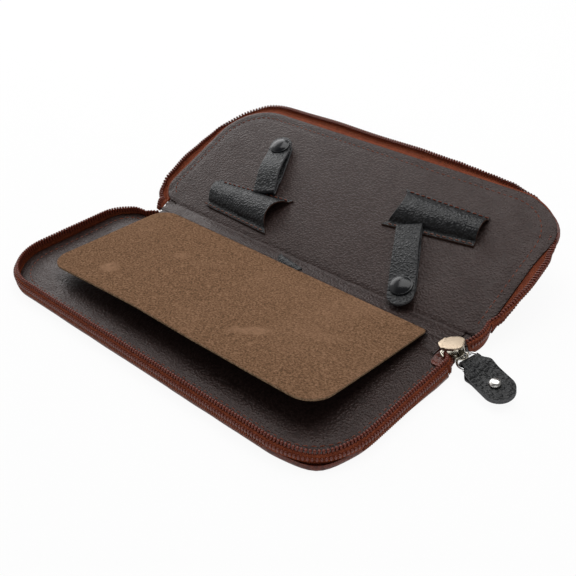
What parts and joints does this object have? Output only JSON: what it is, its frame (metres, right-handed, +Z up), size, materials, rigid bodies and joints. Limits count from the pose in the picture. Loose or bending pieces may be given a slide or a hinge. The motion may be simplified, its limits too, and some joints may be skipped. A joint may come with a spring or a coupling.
{
  "type": "shears case",
  "caption": "Zip-around clamshell case for hairdressing shears, lying open, with a suede divider page, blade sleeves, snap straps and a zip slider with a leather pull.",
  "frame": {"origin": "middle of the spine's underside, where the open case rests", "axes": "+X along the spine towards the end with the zip slider, +Y from the front half towards the rear half, +Z up"},
  "size_m": [0.2584, 0.196, 0.0402],
  "materials": {
    "outer_leather": "smooth, slightly waxy",
    "lining": "embossed, satin",
    "board": "plain board",
    "foam": "soft filler",
    "tape": "woven",
    "coil": "moulded",
    "suede": "napped",
    "page_back": "woven",
    "black_leather": "grained",
    "slider_metal": "aged",
    "ring_metal": "polished",
    "snap_black": "glossy black",
    "snap_steel": "plain"
  },
  "bodies": {
    "front_half": {"outer_cover_front": "outer_leather", "stiffener_front": "board", "lining_front": "lining", "zip_tape_front": "tape", "zip_coil_front": "coil", "zip_end_front": "tape"},
    "spine": {"outer_cover_spine": "outer_leather", "spine_filler": "foam", "lining_spine": "lining", "page_anchor": "lining", "zip_end_patch": "black_leather"},
    "rear_half": {"outer_cover_rear": "outer_leather", "stiffener_rear": "board", "lining_rear": "lining", "zip_tape_rear": "tape", "zip_coil_rear": "coil", "zip_end_rear": "tape", "shears_sleeve_left": "black_leather", "shears_sleeve_right": "black_leather", "strap_base_left": "black_leather", "strap_base_right": "black_leather", "strap_fold_left": "black_leather", "strap_fold_right": "black_leather", "snap_stud_left": "snap_steel", "snap_stud_right": "snap_steel"},
    "page": {"divider_page": "suede", "page_backing": "page_back", "page_sleeve_left": "black_leather", "page_sleeve_right": "black_leather", "page_tongue": "black_leather"},
    "left_strap": {"strap_flap_left": "black_leather", "snap_socket_left": "snap_steel", "snap_cap_left": "snap_black"},
    "right_strap": {"strap_flap_right": "black_leather", "strap_end_right": "black_leather", "snap_socket_right": "snap_steel", "snap_cap_right": "snap_black"},
    "slider": {"slider_body": "slider_metal"},
    "ring": {"pull_ring": "ring_metal"},
    "pull": {"pull_tab": "black_leather", "pull_rivet": "ring_metal"}
  },
  "joints": [
    {"name": "spine_fold", "type": "hinge", "parent": "front_half", "child": "spine", "pos_m": [0, -0.0095, 0.001], "axis": [1, 0, 0], "range_deg": [0, 90], "deforming": ["zip_end_patch"]},
    {"name": "rear_fold", "type": "hinge", "parent": "spine", "child": "rear_half", "pos_m": [0, 0.0095, 0.001], "axis": [1, 0, 0], "range_deg": [-21.6, 68.4], "deforming": ["zip_end_rear", "strap_end_right"]},
    {"name": "page_turn", "type": "hinge", "parent": "spine", "child": "page", "pos_m": [0, -0.0006, 0.0063], "axis": [1, 0, 0], "range_deg": [-84.8, 0]},
    {"name": "left_strap_turn", "type": "hinge", "parent": "rear_half", "child": "left_strap", "pos_m": [-0.0444, 0.03465, 0.01599], "axis": [-0.9135, -0.3782, -0.1497], "range_deg": [-100, 0], "deforming": ["strap_fold_left"]},
    {"name": "right_strap_turn", "type": "hinge", "parent": "rear_half", "child": "right_strap", "pos_m": [0.0448, 0.04664, 0.02073], "axis": [0.8771, 0.4465, 0.1768], "range_deg": [-100, 0], "deforming": ["strap_fold_right"]},
    {"name": "slider_turn", "type": "hinge", "parent": "front_half", "child": "slider", "pos_m": [0.1095, -0.0115, 0.00745], "axis": [0, 0, 1], "range_deg": [-12, 0], "deforming": ["zip_end_front"]},
    {"name": "ring_swing", "type": "hinge", "parent": "slider", "child": "ring", "pos_m": [0.10956, -0.00602, 0.00447], "axis": [-0.2456, -0.9534, -0.1753], "range_deg": [-60, 8]},
    {"name": "tab_swing", "type": "hinge", "parent": "ring", "child": "pull", "pos_m": [0.11992, -0.0086, 0.00505], "axis": [0.2118, 0.9618, 0.1734], "range_deg": [-10, 5]}
  ],
  "couplings": [
    {"joint": "page_turn", "follows": "spine_fold", "ratio": -0.94222}
  ]
}
